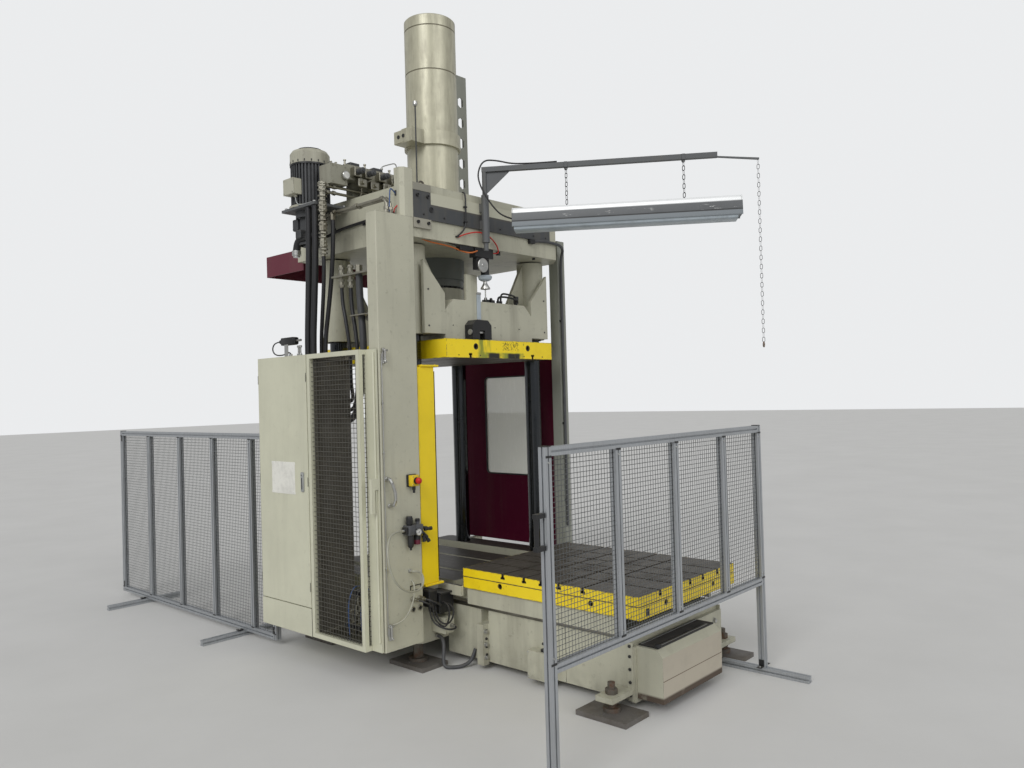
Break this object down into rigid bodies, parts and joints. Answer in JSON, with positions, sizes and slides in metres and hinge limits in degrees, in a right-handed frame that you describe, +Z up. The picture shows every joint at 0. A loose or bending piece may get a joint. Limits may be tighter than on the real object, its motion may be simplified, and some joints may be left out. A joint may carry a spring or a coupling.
{
  "type": "die spotting press",
  "caption": "Four-column hydraulic die spotting press with a table that draws out, a work lamp jib, a control cabinet and fence panels.",
  "frame": {"origin": "on the floor, on the press axis midway between the four columns", "axes": "+Z up; -Y is the front, where the table draws out; +X is the press's right side"},
  "size_m": [2.496, 5.742, 4.565],
  "materials": {
    "air_unit": "black plastic with grey metal body",
    "aluminium": "anodised satin aluminium profile",
    "beam_grey": "mid grey satin paint",
    "bed_paint": "worn cream grey paint with oil stains",
    "black_cover": "matt black rubber sheet",
    "black_hose": "black rubber hose",
    "black_plastic": "black plastic",
    "cage_wire": "dark steel wire, dusty",
    "chain_steel": "steel chain, reddish brown",
    "column_steel": "polished hard chrome with an oil film",
    "cream_paint": "satin machine paint, greenish cream, grimy at edges",
    "cylinder_steel": "turned steel under a clear champagne lacquer",
    "duct_grey": "grey green satin paint",
    "foot_steel": "bare steel, lightly rusted",
    "jib_grey": "grey paint on square tube",
    "lamp_body": "grey sheet steel, scratched",
    "mesh_wire": "galvanised wire, grey",
    "motor_cowl": "olive cream sheet steel, grimy",
    "motor_dark": "dark grey ribbed casting",
    "neck_paint": "dark grey green paint",
    "rail_steel": "worn ground steel",
    "red_paint": "burgundy red satin paint",
    "rod_chrome": "hard chrome piston rod",
    "signal_yellow": "gloss yellow paint on the platen edges, worn at corners",
    "stop_yellow": "yellow plastic box with a red head",
    "valve_steel": "zinc plated steel blocks and fittings",
    "window_clear": "clear polycarbonate, scratched"
  },
  "bodies": {
    "frame": {"bed_casting": "bed_paint", "table_base": "cream_paint", "table_rails": "rail_steel", "end_box": "cream_paint", "end_box_cover": "black_cover", "floor_pads": "foot_steel", "foot_brackets": "cream_paint", "jacking_screws": "foot_steel", "guide_columns": "column_steel", "crosshead": "cream_paint", "cylinder_neck": "neck_paint", "front_beam": "beam_grey", "beam_clamp_plates": "cream_paint", "main_cylinder": "cylinder_steel", "cylinder_collar": "cylinder_steel", "cable_channel": "aluminium", "riser_column": "cream_paint", "corner_post": "cream_paint", "light_curtain": "signal_yellow", "cabinet_case": "cream_paint", "cage_frame": "cream_paint", "side_guard": "red_paint", "guard_window": "window_clear", "guard_post": "duct_grey", "guard_brackets": "duct_grey", "rear_hood": "red_paint", "jib_socket": "jib_grey", "pump_plate": "valve_steel", "motor_body": "motor_dark", "motor_cowl": "motor_cowl", "terminal_box": "cream_paint", "pump_body": "motor_dark", "valve_manifold": "valve_steel", "emergency_stop": "stop_yellow", "air_unit": "air_unit", "left_fence": "aluminium", "right_fence": "aluminium", "fence_feet": "aluminium", "fence_handle": "black_plastic", "left_fence_mesh": "mesh_wire", "right_fence_mesh": "mesh_wire", "drive_hoses": "black_hose", "pipework": "valve_steel"},
    "ram": {"ram_body": "cream_paint", "guide_sleeves": "cream_paint", "piston_rod": "rod_chrome", "upper_platen": "signal_yellow", "platen_hook": "black_plastic"},
    "table": {"table_carriage": "cream_paint", "carriage_rollers": "rail_steel", "lower_platen": "signal_yellow"},
    "cabinet_door": {"cabinet_door": "cream_paint", "cabinet_handle": "beam_grey"},
    "mesh_door": {"mesh_door_frame": "cream_paint", "mesh_door_mesh": "cage_wire", "mesh_door_latch": "rail_steel"},
    "lamp_jib": {"jib_arm": "jib_grey", "lamp_chains": "chain_steel", "lamp_fitting": "lamp_body", "lamp_cable": "black_hose"}
  },
  "joints": [
    {"name": "ram_slide", "type": "slide", "parent": "frame", "child": "ram", "axis": [0, 0, -1], "range_m": [0, 0.9]},
    {"name": "table_slide", "type": "slide", "parent": "frame", "child": "table", "axis": [0, 1, 0], "range_m": [0, 1.427]},
    {"name": "cabinet_door_hinge", "type": "hinge", "parent": "frame", "child": "cabinet_door", "pos_m": [-1.167, 0.589, 1.2], "axis": [0, 0, -1], "range_deg": [0, 115]},
    {"name": "mesh_door_hinge", "type": "hinge", "parent": "frame", "child": "mesh_door", "pos_m": [-1.167, -0.001, 1.1], "axis": [0, 0, -1], "range_deg": [0, 90]},
    {"name": "lamp_swivel", "type": "hinge", "parent": "frame", "child": "lamp_jib", "pos_m": [-0.168, -0.692, 3], "axis": [0, 0, 1], "range_deg": [-75, 28]}
  ]
}
